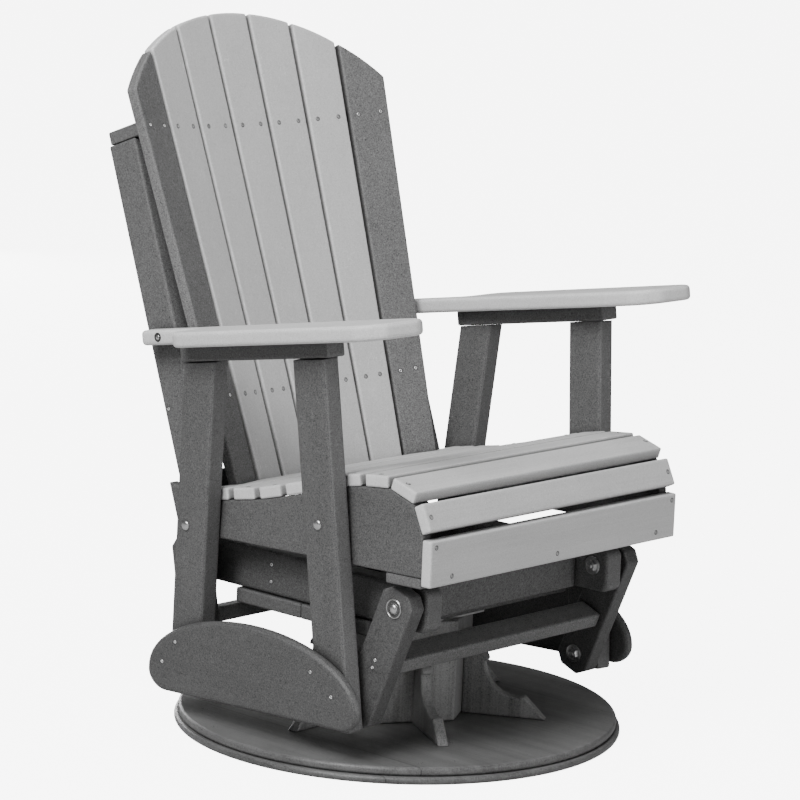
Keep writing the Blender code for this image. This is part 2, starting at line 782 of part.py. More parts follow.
def under_slats(clearance):
    """Lines along the rail's top edge, a clearance below each slat's underside."""
    depth = seat_slat_thickness + clearance
    lines = []
    for y, z, _, tilt_deg in slat_seats():
        tilt = math.radians(tilt_deg)
        along = Vector((-math.cos(tilt), math.sin(tilt)))
        down = Vector((-math.sin(tilt), -math.cos(tilt)))
        lines.append((Vector((y, z)) + down * depth, along))
    return lines


def crossing(first, second):
    """Where two lines in a plane meet."""
    (p, u), (q, v) = first, second
    share = ((q - p).x * v.y - (q - p).y * v.x) / (u.x * v.y - u.y * v.x)
    return p + u * share


def make_rail(side, material):
    """A side rail whose top edge follows the slats and whose front curves down to the apron."""
    lines = under_slats(gap)
    flat, steep = lines[0], lines[-1]
    rear_top = (rail_rear_y, rail_rear_top_z)
    rear_bottom = (rail_rear_y - (rail_rear_top_z - rail_bottom_rear_z) * math.tan(recline),
                   rail_bottom_rear_z)
    behind = flat[0] + flat[1] * ((seat_rear_y - flat[0].x) / flat[1].x)
    step_y = seat_rear_y + board_edge
    bends = [tuple(crossing(one, other)) for one, other in zip(lines, lines[1:]) if one[1] != other[1]]
    front_line = (Vector((rail_front_y, 0)), Vector((0, 1)))
    foremost = crossing(steep, front_line)
    outline = [(rail_front_y, rail_bottom_front_z), rear_bottom, rear_top,
               (step_y, behind.y), tuple(behind), *bends, tuple(foremost)]
    inner = side * rail_inner_x
    outer = side * rail_outer_x
    item = prism("seat_rail_" + SIDE_NAMES[side], outline, (inner, outer), "YZ", material)
    ease_edges(item, thin_edge)
    return item


def make_seat_frame():
    """Rails, the front board under them and the board that the back stands on."""
    dark = finishes["dark_board"]
    pieces = [make_rail(side, dark) for side in (RIGHT, LEFT)]
    slope = math.atan2(rail_bottom_front_z - rail_bottom_rear_z, rail_rear_y - rail_front_y)
    outline = rectangle((0, -front_board_thickness), (front_board_depth, 0))
    board = prism("seat_front_board", outline, (-rail_outer_x, rail_outer_x), "YZ", dark)
    ease_edges(board, board_edge)
    board.location = (0, rail_front_y, rail_bottom_front_z - gap)
    board.rotation_euler = (-slope, 0, 0)
    pieces.append(board)
    return pieces


def slat_pitch(height):
    """Spacing of the fanned slats at a height up the back."""
    growth = (back_pitch_high - back_pitch_low) / (back_high_row - back_low_row)
    return back_pitch_low + growth * (height - back_low_row)


def crown_height(across):
    """Height of the arched top edge at an arc length from the middle."""
    half = back_slat_count / 2 * slat_pitch(back_shoulder)
    drop = back_crown - back_shoulder
    radius = (half * half + drop * drop) / (2 * drop)
    return back_crown - radius + math.sqrt(max(0, radius * radius - across * across))


def make_back_slat(index, material):
    """One tapered slat, flat across its width, with its piece of the arched top."""
    place = index - (back_slat_count - 1) / 2
    mesh = bpy.data.meshes.new("back_slat_%d" % (index + 1))
    work = bmesh.new()
    side_heights = []
    rows = []
    for edge in (-0.5, 0.5):
        top = back_shoulder
        for _ in range(8):
            across = (place + edge) * slat_pitch(top) - math.copysign(back_slat_gap / 2, edge)
            top = crown_height(across)
        side_heights.append(top)
    front = []
    left, right = [], []
    for edge, column in ((-0.5, left), (0.5, right)):
        inset = math.copysign(back_slat_gap / 2, edge)
        column.append(((place + edge) * slat_pitch(back_bottom) - inset, back_bottom))
        top = side_heights[0] if edge < 0 else side_heights[1]
        column.append(((place + edge) * slat_pitch(top) - inset, top))
    crown = []
    for k in range(1, crown_segments):
        share = k / crown_segments
        across = right[1][0] + (left[1][0] - right[1][0]) * share
        crown.append((across, crown_height(across)))
    outline = [left[0], right[0], right[1]] + crown + [left[1]]
    for a, h in outline:
        front.append(chord_point(a, h, place, 0))
    for a, h in outline:
        rows.append(chord_point(a, h, place, -back_slat_thickness))
    first = [work.verts.new(p) for p in front]
    second = [work.verts.new(p) for p in rows]
    work.faces.new(first)
    work.faces.new(list(reversed(second)))
    count = len(outline)
    for k in range(count):
        nxt = (k + 1) % count
        work.faces.new((first[nxt], first[k], second[k], second[nxt]))
    bmesh.ops.recalc_face_normals(work, faces=work.faces)
    work.to_mesh(mesh)
    work.free()
    item = add_object("back_slat_%d" % (index + 1), mesh, material)
    ease_edges(item, board_edge)
    return item


def bow_point(across, height, place, depth):
    """Across and forward places of a point on a flat slat that is tangent to the bow."""
    middle = place * slat_pitch(height)
    angle = place * slat_pitch(back_high_row) / back_bow_radius
    offset = across - middle
    bow = middle / back_bow_radius
    x = back_bow_radius * math.sin(bow) + offset * math.cos(angle) - depth * math.sin(angle)
    forward = back_bow_radius * (1 - math.cos(bow)) + offset * math.sin(angle) + depth * math.cos(angle)
    return x, forward


def chord_point(across, height, place, depth):
    """The same point in the chair's own axes."""
    x, forward = bow_point(across, height, place, depth)
    y = back_foot_y + height * math.sin(recline) - forward * math.cos(recline)
    z = back_foot_z + height * math.cos(recline) + forward * math.sin(recline)
    return (x, y, z)


def make_back_rail(name, row, depth, half_length, material):
    """A rail at right angles to the back, its front cut to the faces of the fanned slats."""
    middle = back_slat_count // 2
    profile = []
    for k in range(back_slat_count):
        place = k - middle
        half = (slat_pitch(row) - back_slat_gap) / 2
        for edge in (-half, half):
            across, forward = bow_point(place * slat_pitch(row) + edge, row, place,
                                        -back_slat_thickness - 2 * gap)
            profile.append((across, -forward))
    profile = clip_profile(profile, half_length)
    outline = profile + [(half_length, depth), (-half_length, depth)]
    item = prism(name, outline, (-back_rail_thickness / 2, back_rail_thickness / 2), "XY", material)
    ease_edges(item, thin_edge)
    item.location = (0, back_foot_y + row * math.sin(recline), back_foot_z + row * math.cos(recline))
    item.rotation_euler = (-recline, 0, 0)
    return item


def clip_profile(points, limit):
    """The part of a profile between two places across the chair, ends included."""
    kept = []
    for (x0, y0), (x1, y1) in zip(points, points[1:]):
        for bound in (-limit, limit):
            if (x0 - bound) * (x1 - bound) < 0:
                share = (bound - x0) / (x1 - x0)
                kept.append((bound, y0 + (y1 - y0) * share))
        if abs(x1) < limit:
            kept.append((x1, y1))
    if abs(points[0][0]) < limit:
        kept.insert(0, (-limit, points[0][1]))
        kept.insert(1, points[0])
        kept.append((limit, points[-1][1]))
    return kept


def make_brace(side, material):
    """A brace behind the outer slats, from the seat rail up to the top rail."""
    slat_back = outer_slat_depth()
    front = slat_back + brace_setback
    top = back_high_row - back_rail_thickness / 2 - gap
    bottom = brace_foot
    outline = rectangle((front, bottom), (front + brace_width, top))
    inner = side * (brace_outer_x - brace_thickness)
    outer = side * brace_outer_x
    item = prism("back_brace_" + SIDE_NAMES[side], outline, (inner, outer), "YZ", material)
    ease_edges(item, board_edge)
    item.location = (0, back_foot_y, back_foot_z)
    item.rotation_euler = (-recline, 0, 0)
    return item


def outer_slat_depth():
    """How far behind the middle of the back the outer slat's rear face lies, at the brace."""
    x = brace_outer_x - brace_thickness / 2
    bow = back_bow_radius - math.sqrt(back_bow_radius ** 2 - x ** 2)
    return back_slat_thickness - bow


def make_back():
    """Slats, rails and braces."""
    dark, pale = finishes["dark_board"], finishes["pale_board"]
    pieces = []
    for k in range(back_slat_count):
        outer = k in (0, back_slat_count - 1)
        pieces.append(make_back_slat(k, dark if outer else pale))
    for side in (RIGHT, LEFT):
        pieces.append(make_brace(side, dark))
    inner = brace_outer_x - brace_thickness - gap
    pieces.append(make_back_rail("back_top_rail", back_high_row, back_rail_depth,
                                 back_rail_half_length, dark))
    pieces.append(make_back_rail("back_low_rail", back_low_row, back_rail_depth, inner, dark))
    pieces.append(make_foot_rail(inner, dark))
    return pieces


def make_foot_rail(half_length, material):
    """A board across the frame, flat against the slats' lower ends."""
    start = back_slat_thickness + gap
    outline = rectangle((start, back_bottom + gap), (start + back_foot_rail_thickness,
                                                    back_bottom + back_foot_rail_width))
    item = prism("back_foot_rail", outline, (-half_length, half_length), "YZ", material)
    ease_edges(item, board_edge)
    item.location = (0, back_foot_y, back_foot_z)
    item.rotation_euler = (-recline, 0, 0)
    return item


def main():
    """Build every piece and hang it on its joint's empty."""
    clear_scene()
    finishes["dark_board"] = make_material("dark_board", (0.118, 0.118, 0.122), 0.55, 0.0)
    finishes["pale_board"] = make_material("pale_board", (0.46, 0.46, 0.465), 0.5, 0.0)
    finishes["steel"] = make_material("steel", (0.62, 0.62, 0.63), 0.3, 1.0)
    swivel = empty_at("swivel_axis", (0, 0, 0))
    front_axis = empty_at("front_link_axis", upper_pivot_front)
    rear_axis = empty_at("rear_link_axis", upper_pivot_rear)
    seat_axis = empty_at("seat_axis", lower_pivot_front)
    make_base()
    make_bearing("bearing_lower_plate", column_top_height + gap, False)
    groups = [(swivel, make_carriage()), (front_axis, make_links("front")),
              (rear_axis, make_links("rear"))]
    dark, pale = finishes["dark_board"], finishes["pale_board"]
    seat = make_seat_frame() + make_seat_slats(pale) + make_back()
    for side in (RIGHT, LEFT):
        for end in ("front", "rear"):
            seat.append(make_leg(side, end, dark))
        seat += [make_panel(side, dark), make_arm_support(side, dark), make_arm(side, pale)]
    groups.append((seat_axis, seat))
    for axis, pieces in groups:
        for item in pieces:
            attach(item, axis)
    report_linkage()


def report_linkage():
    """Print where the links' lines cross and the ratios of the coupled joints."""
    front = (Vector(lower_pivot_front.yz), Vector((math.sin(link_front_angle), -math.cos(link_front_angle))))
    rear = (Vector(lower_pivot_rear.yz), Vector((-math.sin(link_rear_angle), -math.cos(link_rear_angle))))
    centre = crossing(front, rear)
    reach_front = (centre - front[0]).length
    reach_rear = (centre - rear[0]).length
    print("turning centre", round(centre.x, 4), round(centre.y, 4))
    print("rear link ratio", round(reach_rear / reach_front, 5),
          "seat ratio", round(-(1 + link_length / reach_front), 5))


finishes = {}
main()
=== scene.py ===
"""Looks of an adirondack chair that glides on swing links over a turning round base.

The boards keep their solid shapes and get finishes of speckled plastic lumber. Screws, bolts
and washers are turned shapes that are set down on the boards' faces.
"""
import math

import bpy
import numpy as np
from mathutils import Matrix, Vector
from mathutils.bvhtree import BVHTree


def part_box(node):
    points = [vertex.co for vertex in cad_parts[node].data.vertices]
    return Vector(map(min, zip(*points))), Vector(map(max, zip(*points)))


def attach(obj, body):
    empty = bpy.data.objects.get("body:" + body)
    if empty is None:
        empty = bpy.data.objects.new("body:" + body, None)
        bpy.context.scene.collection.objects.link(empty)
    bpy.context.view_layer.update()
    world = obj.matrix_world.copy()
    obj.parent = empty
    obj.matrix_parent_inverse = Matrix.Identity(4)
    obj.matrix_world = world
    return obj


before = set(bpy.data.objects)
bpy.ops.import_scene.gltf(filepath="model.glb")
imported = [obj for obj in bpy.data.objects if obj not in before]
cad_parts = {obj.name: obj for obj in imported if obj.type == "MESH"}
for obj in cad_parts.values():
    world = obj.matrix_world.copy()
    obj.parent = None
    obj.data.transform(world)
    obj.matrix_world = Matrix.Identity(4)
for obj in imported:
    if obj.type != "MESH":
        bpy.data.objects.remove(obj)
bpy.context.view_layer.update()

# Camera, solved from the picture's base ellipses and board edges
picture_width_px = 800
focal_px = 3293.7
sensor_width = 36.0
camera_place = (-4.0386, -3.6648, 1.5359)
camera_yaw = -0.8309
camera_pitch_down = 0.1776
camera_roll = 0.0396

# Places that the fasteners share with the solids, in metres
RIGHT, LEFT = -1, 1
SIDE_NAMES = {RIGHT: "right", LEFT: "left"}
recline = math.radians(19.7)
back_foot = (0.1995, 0.4345)
back_bow_radius = 0.875
slat_count = 7
pitch_low, pitch_high = 0.07621, 0.08761
row_low, row_high = 0.120, 0.585
row_low_spread, row_high_spread = 0.015, 0.022
upper_pivots = {"front": (-0.245, 0.2885), "rear": (0.232777, 0.2885)}
lower_pivots = {"front": (-0.174133, 0.112211), "rear": (0.1975, 0.101803)}
bar_screw_reaches = (0.0770, 0.0916)
rail_screw_x = 0.2970
apron_screws = ((0.2960, 0.4055), (0.2570, 0.3550), (0.0, 0.3550))
side_board_screws = ((0.070, 0.296), (0.070, 0.267), (-0.1963, 0.299), (-0.1963, 0.263))
leg_bolts = ((0.176, 0.357), (-0.128, 0.412))
panel_screws = ((0.1835, 0.1585), (0.2155, 0.1185), (-0.1305, 0.1725), (-0.1765, 0.1405))
brace_screws = ((0.284, 0.530),)
tail_bolt = (0.270, 0.6575)
platform_bolts = ((0.088, -0.142), (-0.088, -0.142), (0.088, 0.100), (-0.088, 0.100))
sight_run = 0.9
seat_slat_count = 9
nose_screw_slope = 0.45

# Where the search for each face starts, clear of the piece that it meets
side_start_x = 0.60
carriage_start_x = 0.50
bar_screw_start_x = 0.45
cap_start_x = 0.30
nut_start_x = 0.20
carriage_nut_start_x = 0.15
seat_stand_off = 0.10
back_stand_off = 0.25
apron_start_y = -0.50
platform_start_z = 0.30

# Sizes of the fasteners
screw_radius = 0.0031
screw_ring_radius = 0.0042
bolt_radius = 0.0085
washer_radius = 0.0160
tail_well_radius = 0.0078
tail_stud_radius = 0.0042
head_turn_step = 0.7
sharp_rim_deg = 38

# Tones of the finishes, as linear greys
pale_tone = 0.52
arm_tone = 0.60
dark_tone = 0.090
link_tone = 0.077
panel_tone = 0.077
support_tone = 0.090
bar_tone = 0.140
dark_back_tone = 0.138
brace_tone = 0.110
disc_tone = 0.108
# Painted light: the column and brackets are paler than the discs' lumber, to stand in for light that scarcely
# reaches them
column_painted_light_tone = 0.250
bracket_painted_light_tone = 0.195
plate_tone, plate_dull = 0.42, 0.38
bolt_tone, bolt_dull = 0.56, 0.32
screw_tone, screw_dull = 0.86, 0.46
# Screw heads in pale boards: a darker copy of the same steel, as painted shade of their recesses
pale_screw_shaded_tone, pale_screw_dull = 0.36, 0.42
# Painted shade: dark rings in screws' countersinks, counterbores' mouths and the pivot caps' dishes
recess_shade_tone = 0.028
cap_dish_shade_tone = 0.055
pale_recess_shade_tone = 0.10
floor_tone = 0.50
# Painted light: the disc tops and the legs' front and back faces are painted paler than their other faces
disc_top_painted_light_gain = 0.26
leg_front_painted_light_gain = 0.46

# Sizes of the surface effects
edge_shine_radius = 0.0040
# The crevice shade sizes set painted shade: colour darkened where nearby faces shut out the surroundings
crevice_shade_reach = 0.015
crevice_shade_start, crevice_shade_full = 0.60, 0.32
relief_depth = 0.0004
brush_depth = 0.0001
seam_half_width = 0.0011
seam_shade = 0.45
seam_depth = 3.0
upper_disc_seam = 0.247
lower_disc_seam = 0.2912

# Studio light
sky_strength = 0.12
side_place, side_size, side_power = (-4.6, -0.6, 4.2), 2.4, 228.0
high_place, high_size, high_power = (-3.2, -1.2, 4.2), 2.4, 185.0
front_place, front_size, front_power = (0.4, -5.2, 1.3), 2.2, 64.0
top_place, top_size, top_power = (0.0, 0.0, 5.2), 3.0, 88.0
rear_place, rear_size, rear_power = (2.4, 5.2, 1.0), 1.8, 90.0
floor_glow = 7.0
aim_height = 0.55
floor_radius = 90.0
floor_middle_radius = 0.5
floor_sides, floor_rings = 72, 14


# Finishes: node sheets, shared effects and one material per kind of board

class Sheet:
    """Lays nodes in one tree. Each call adds a node, links or sets its inputs and gives an output."""

    def __init__(self, tree):
        self.tree = tree

    def add(self, kind, inputs=None, output=0, **settings):
        """Add one node with its settings, and feed each named input with a socket or a value."""
        made = self.tree.nodes.new(kind)
        for key, value in settings.items():
            setattr(made, key, value)
        for key, value in (inputs or {}).items():
            if isinstance(value, bpy.types.NodeSocket):
                self.tree.links.new(value, made.inputs[key])
            else:
                made.inputs[key].default_value = value
        return made.outputs[output]

    def sums(self, operation, first, second=0.0):
        """One arithmetic step."""
        return self.add("ShaderNodeMath", {0: first, 1: second}, operation=operation)

    def noise(self, vector, scale, detail=2.0, roughness=0.5):
        """Smooth noise between 0 and 1."""
        return self.add("ShaderNodeTexNoise", {"Vector": vector, "Scale": scale, "Detail": detail,
                                               "Roughness": roughness}, "Fac")

    def span(self, value, low, high, to_low=0.0, to_high=1.0):
        """Carry one range of values over to another, held at its ends."""
        return self.add("ShaderNodeMapRange", {"Value": value, "From Min": low, "From Max": high,
                                               "To Min": to_low, "To Max": to_high}, "Result")

    def stretch(self, vector, scale, turn=(0.0, 0.0, 0.0)):
        """Turn and stretch a pattern on a piece."""
        return self.add("ShaderNodeMapping", {"Vector": vector, "Scale": scale, "Rotation": turn}, "Vector")


def new_group(name, inputs, outputs):
    """An empty node group with named inputs and outputs."""
    group = bpy.data.node_groups.new(name, "ShaderNodeTree")
    for label, kind in inputs:
        group.interface.new_socket(label, in_out="INPUT", socket_type=kind)
    for label, kind in outputs:
        group.interface.new_socket(label, in_out="OUTPUT", socket_type=kind)
    sheet = Sheet(group)
    entry = group.nodes.new("NodeGroupInput").outputs
    leave = group.nodes.new("NodeGroupOutput").inputs
    return group, sheet, entry, leave


def lumber_speckle_group():
    """Fine flecks in moulded lumber: noise at fleck size with sparse pale and dark grains in it."""
    group, sheet, entry, leave = new_group(
        "lumber_speckle", [("Vector", "NodeSocketVector"), ("Flecks Per Metre", "NodeSocketFloat")],
        [("Fleck", "NodeSocketFloat"), ("Height", "NodeSocketFloat")])
    fine = sheet.noise(entry["Vector"], entry["Flecks Per Metre"], 3.0, 0.65)
    cells = sheet.add("ShaderNodeTexVoronoi", {"Vector": entry["Vector"], "Scale": entry["Flecks Per Metre"]},
                      "Color")
    picked = sheet.add("ShaderNodeSeparateColor", {"Color": cells}, "Red")
    pale = sheet.span(picked, 0.90, 0.97)
    dark = sheet.span(picked, 0.10, 0.03)
    grains = sheet.sums("SUBTRACT", pale, dark)
    fleck = sheet.sums("ADD", sheet.span(fine, 0.25, 0.75, -0.5, 0.5), sheet.sums("MULTIPLY", grains, 0.22))
    group.links.new(fleck, leave["Fleck"])
    group.links.new(fine, leave["Height"])
    return group


def lumber_streaks_group():
    """Faint lines that run along a board: noise drawn out along X, with slow clouds of tone."""
    group, sheet, entry, leave = new_group(
        "lumber_streaks", [("Vector", "NodeSocketVector")],
        [("Streak", "NodeSocketFloat"), ("Cloud", "NodeSocketFloat")])
    drawn = sheet.stretch(entry["Vector"], (5.0, 210.0, 210.0))
    broad = sheet.stretch(entry["Vector"], (2.5, 38.0, 38.0))
    lines = sheet.sums("ADD", sheet.noise(drawn, 1.0, 3.0, 0.6), sheet.noise(broad, 1.0, 2.0, 0.5))
    group.links.new(sheet.span(lines, 0.6, 1.4, -0.5, 0.5), leave["Streak"])
    cloud = sheet.noise(entry["Vector"], 7.0, 3.0, 0.55)
    group.links.new(sheet.span(cloud, 0.3, 0.7, -0.5, 0.5), leave["Cloud"])
    return group


def pale_edge_and_highlight_group():
    """Where a board's edge was routed: how far the rounded normal leans off the face, broken by noise. The
    finishes paint this mask paler, partly as lighter routed lumber and partly as a painted highlight.
    """
    group, sheet, entry, leave = new_group(
        "pale_edge_and_highlight", [("Vector", "NodeSocketVector"), ("Radius", "NodeSocketFloat")],
        [("Edge", "NodeSocketFloat"), ("Rounded", "NodeSocketVector")])
    rounded = sheet.add("ShaderNodeBevel", {"Radius": entry["Radius"]}, "Normal", samples=2)
    face = sheet.add("ShaderNodeNewGeometry", {}, "True Normal")
    lean = sheet.add("ShaderNodeVectorMath", {0: rounded, 1: face}, "Value", operation="DOT_PRODUCT")
    off = sheet.span(lean, 0.995, 0.86)
    ragged = sheet.span(sheet.noise(entry["Vector"], 95.0, 4.0, 0.6), 0.25, 0.6, 0.35, 1.0)
    group.links.new(sheet.sums("MULTIPLY", off, ragged), leave["Edge"])
    group.links.new(rounded, leave["Rounded"])
    return group


def crevice_painted_shade_group():
    """Painted shade in narrow places between boards: how much of the near surroundings another face shuts
    out.
    """
    group, sheet, _, leave = new_group("crevice_painted_shade", [], [("Painted Shade", "NodeSocketFloat")])
    open_share = sheet.add("ShaderNodeAmbientOcclusion", {"Distance": crevice_shade_reach}, "AO", samples=2)
    group.links.new(sheet.span(open_share, crevice_shade_start, crevice_shade_full), leave["Painted Shade"])
    return group


def sawn_end_group():
    """Faces whose own normal lies along a set way: a board's sawn ends, and other faces that the finishes
    paint paler as painted light, such as leg fronts and disc tops.
    """
    group, sheet, entry, leave = new_group(
        "sawn_end", [("Turn", "NodeSocketVector")], [("End", "NodeSocketFloat")])
    facing = sheet.add("ShaderNodeTexCoord", {}, "Normal")
    turned_normal = sheet.add("ShaderNodeMapping", {"Vector": facing, "Rotation": entry["Turn"]}, "Vector")
    along = sheet.add("ShaderNodeSeparateXYZ", {"Vector": turned_normal}, "X")
    group.links.new(sheet.span(sheet.sums("ABSOLUTE", along), 0.80, 0.95), leave["End"])
    return group


def plank_seams_group():
    """Straight butt joints between planks: thin lines where the distance across meets a set place."""
    group, sheet, entry, leave = new_group(
        "plank_seams", [("Vector", "NodeSocketVector"), ("Place", "NodeSocketFloat"),
                        ("Half Width", "NodeSocketFloat")], [("Seam", "NodeSocketFloat")])
    across = sheet.sums("ABSOLUTE", sheet.add("ShaderNodeSeparateXYZ", {"Vector": entry["Vector"]}, "X"))
    away = sheet.sums("ABSOLUTE", sheet.sums("SUBTRACT", across, entry["Place"]))
    share = sheet.sums("DIVIDE", away, entry["Half Width"])
    group.links.new(sheet.span(share, 1.0, 0.45), leave["Seam"])
    return group


def handling_marks_group():
    """Hairline rubs and dull patches: thin ridges of warped noise where slow noise lets them show."""
    group, sheet, entry, leave = new_group(
        "handling_marks", [("Vector", "NodeSocketVector")],
        [("Rub", "NodeSocketFloat"), ("Dull", "NodeSocketFloat")])
    drawn = sheet.stretch(entry["Vector"], (9.0, 70.0, 70.0), (0.0, 0.0, 0.4))
    ridge = sheet.sums("ABSOLUTE", sheet.sums("SUBTRACT", sheet.noise(drawn, 1.0, 2.0, 0.5), 0.5))
    thin = sheet.span(ridge, 0.012, 0.0)
    where = sheet.span(sheet.noise(entry["Vector"], 13.0, 2.0, 0.5), 0.55, 0.70)
    group.links.new(sheet.sums("MULTIPLY", thin, where), leave["Rub"])
    group.links.new(sheet.noise(entry["Vector"], 24.0, 4.0, 0.6), leave["Dull"])
    return group


def brushed_lines_group():
    """Turned or brushed steel: fine noise drawn out across one axis, and slow smears over it."""
    group, sheet, entry, leave = new_group(
        "brushed_lines", [("Vector", "NodeSocketVector")],
        [("Brush", "NodeSocketFloat"), ("Smear", "NodeSocketFloat")])
    drawn = sheet.stretch(entry["Vector"], (160.0, 2400.0, 2400.0))
    group.links.new(sheet.noise(drawn, 1.0, 3.0, 0.6), leave["Brush"])
    group.links.new(sheet.noise(entry["Vector"], 120.0, 3.0, 0.5), leave["Smear"])
    return group


effects = {}


def build_effects():
    """Make each shared effect once."""
    effects["speckle"] = lumber_speckle_group()
    effects["streaks"] = lumber_streaks_group()
    effects["edge"] = pale_edge_and_highlight_group()
    effects["crevice_shade"] = crevice_painted_shade_group()
    effects["sawn"] = sawn_end_group()
    effects["seams"] = plank_seams_group()
    effects["marks"] = handling_marks_group()
    effects["brush"] = brushed_lines_group()


def use_effect(sheet, name, inputs):
    """Place a shared effect in a material and give its outputs."""
    made = sheet.tree.nodes.new("ShaderNodeGroup")
    made.node_tree = effects[name]
    for key, value in inputs.items():
        if isinstance(value, bpy.types.NodeSocket):
            sheet.tree.links.new(value, made.inputs[key])
        else:
            made.inputs[key].default_value = value
    return made.outputs


def grey(value):
    """A neutral colour."""
    return (value, value, value, 1.0)


def blank_material(name):
    """A material with its Principled shader, a sheet for its nodes and its Object coordinates."""
    material = bpy.data.materials.new(name)
    material.use_nodes = True
    shader = material.node_tree.nodes["Principled BSDF"]
    sheet = Sheet(material.node_tree)
    coordinates = sheet.add("ShaderNodeTexCoord", {}, "Object")
    return material, shader, sheet, coordinates


def lumber_finish(name, tone, turn, fleck=0.36, streak=0.06, cloud=0.06, edge_pale_and_highlight_gain=0.42,
                  flecks_per_metre=480.0, dull=0.52, relief=0.35, end_and_facing_light_gain=0.22, crevice_shade_depth=0.88,
                  facing_light_turn=None, seam_place=None):
    """Plastic lumber: one grey moved by flecks, streaks and clouds, paler on its edges and on faces that face
    a set way.

    The pale edges are partly lighter routed lumber and partly a painted highlight; the pale faces are sawn
    ends and also painted light. Narrow places between boards get painted shade, and a board made of planks
    shows their butt joints.
    """
    material, shader, sheet, place = blank_material(name)
    along = sheet.stretch(place, (1.0, 1.0, 1.0), turn)
    speckle = use_effect(sheet, "speckle", {"Vector": place, "Flecks Per Metre": flecks_per_metre})
    streaks = use_effect(sheet, "streaks", {"Vector": along})
    edge = use_effect(sheet, "edge", {"Vector": place, "Radius": edge_shine_radius})
    marks = use_effect(sheet, "marks", {"Vector": along})
    sawn = use_effect(sheet, "sawn", {"Turn": facing_light_turn or turn})
    crevice_shade = use_effect(sheet, "crevice_shade", {})
    move = sheet.sums("MULTIPLY", speckle["Fleck"], fleck)
    # Paler edges and faces: partly lighter worked and sawn lumber, partly painted highlight and painted light
    for mask, gain in ((streaks["Streak"], streak), (streaks["Cloud"], cloud), (edge["Edge"], edge_pale_and_highlight_gain),
                       (marks["Rub"], edge_pale_and_highlight_gain * 0.35), (sawn["End"], end_and_facing_light_gain)):
        move = sheet.sums("ADD", move, sheet.sums("MULTIPLY", mask, gain))
    level = sheet.sums("MULTIPLY", sheet.sums("ADD", move, 1.0), tone)
    # Painted shade darkens the colour in narrow places between boards
    level = sheet.sums("MULTIPLY", level, sheet.span(crevice_shade["Painted Shade"], 0.0, 1.0, 1.0, 1.0 - crevice_shade_depth))
    height = sheet.sums("ADD", speckle["Height"], sheet.sums("MULTIPLY", streaks["Streak"], 0.6))
    if seam_place is not None:
        seams = use_effect(sheet, "seams", {"Vector": place, "Place": seam_place,
                                            "Half Width": seam_half_width})
        level = sheet.sums("MULTIPLY", level, sheet.span(seams["Seam"], 0.0, 1.0, 1.0, seam_shade))
        height = sheet.sums("SUBTRACT", height, sheet.sums("MULTIPLY", seams["Seam"], seam_depth))
    colour = sheet.add("ShaderNodeCombineColor", {"Red": level, "Green": level, "Blue": level}, "Color")
    sheet.tree.links.new(colour, shader.inputs["Base Color"])
    rough = sheet.sums("ADD", sheet.span(marks["Dull"], 0.3, 0.7, dull - 0.05, dull + 0.07),
                       sheet.sums("MULTIPLY", speckle["Fleck"], 0.10))
    sheet.tree.links.new(rough, shader.inputs["Roughness"])
    bump = sheet.add("ShaderNodeBump", {"Height": height, "Normal": edge["Rounded"],
                                        "Strength": relief, "Distance": relief_depth}, "Normal")
    sheet.tree.links.new(bump, shader.inputs["Normal"])
    shader.inputs["Specular IOR Level"].default_value = 0.42
    return material


def steel_finish(name, tone, roughness):
    """Stainless steel with brushed lines and smears."""
    material, shader, sheet, place = blank_material(name)
    brush = use_effect(sheet, "brush", {"Vector": place})
    level = sheet.span(brush["Smear"], 0.3, 0.7, tone * 0.88, tone * 1.08)
    colour = sheet.add("ShaderNodeCombineColor", {"Red": level, "Green": level, "Blue": level}, "Color")
    sheet.tree.links.new(colour, shader.inputs["Base Color"])
    rough = sheet.span(brush["Brush"], 0.3, 0.7, roughness * 0.8, roughness * 1.25)
    sheet.tree.links.new(rough, shader.inputs["Roughness"])
    bump = sheet.add("ShaderNodeBump", {"Height": brush["Brush"], "Strength": 0.12,
                                        "Distance": brush_depth}, "Normal")
    sheet.tree.links.new(bump, shader.inputs["Normal"])
    shader.inputs["Metallic"].default_value = 1.0
    return material


def recess_shade_finish(name, tone):
    """A dark, uneven hollow of painted shade: the shaded, torn rim round a screw, the mouth of a counterbore
    and the dish of a cap.
    """
    material, shader, sheet, place = blank_material(name)
    torn = sheet.noise(place, 1500.0, 3.0, 0.6)
    level = sheet.span(torn, 0.3, 0.7, tone * 0.6, tone * 1.4)
    colour = sheet.add("ShaderNodeCombineColor", {"Red": level, "Green": level, "Blue": level}, "Color")
    sheet.tree.links.new(colour, shader.inputs["Base Color"])
    sheet.tree.links.new(sheet.span(torn, 0.3, 0.7, 0.7, 0.9), shader.inputs["Roughness"])
    return material


def floor_finish():
    """A pale studio floor with a slow unevenness."""
    material, shader, sheet, place = blank_material("studio_floor_finish")
    level = sheet.span(sheet.noise(place, 1.3, 3.0, 0.5), 0.3, 0.7, floor_tone * 0.99, floor_tone * 1.01)
    colour = sheet.add("ShaderNodeCombineColor", {"Red": level, "Green": level, "Blue": level}, "Color")
    sheet.tree.links.new(colour, shader.inputs["Base Color"])
    seen = sheet.add("ShaderNodeLightPath", {}, "Is Camera Ray")
    sheet.tree.links.new(sheet.sums("MULTIPLY", seen, floor_glow), shader.inputs["Emission Strength"])
    shader.inputs["Emission Color"].default_value = grey(1.0)
    shader.inputs["Roughness"].default_value = 0.9
    shader.inputs["Specular IOR Level"].default_value = 0.1
    return material


# How each kind of board lies: the turn that brings its length onto the streaks' X axis
ACROSS_CHAIR = (0.0, 0.0, 0.0)
ALONG_CHAIR = (0.0, 0.0, -math.pi / 2)
UPRIGHT = (0.0, math.pi / 2, 0.0)
UP_THE_BACK = (0.0, math.pi / 2, 0.0)

finishes = {}


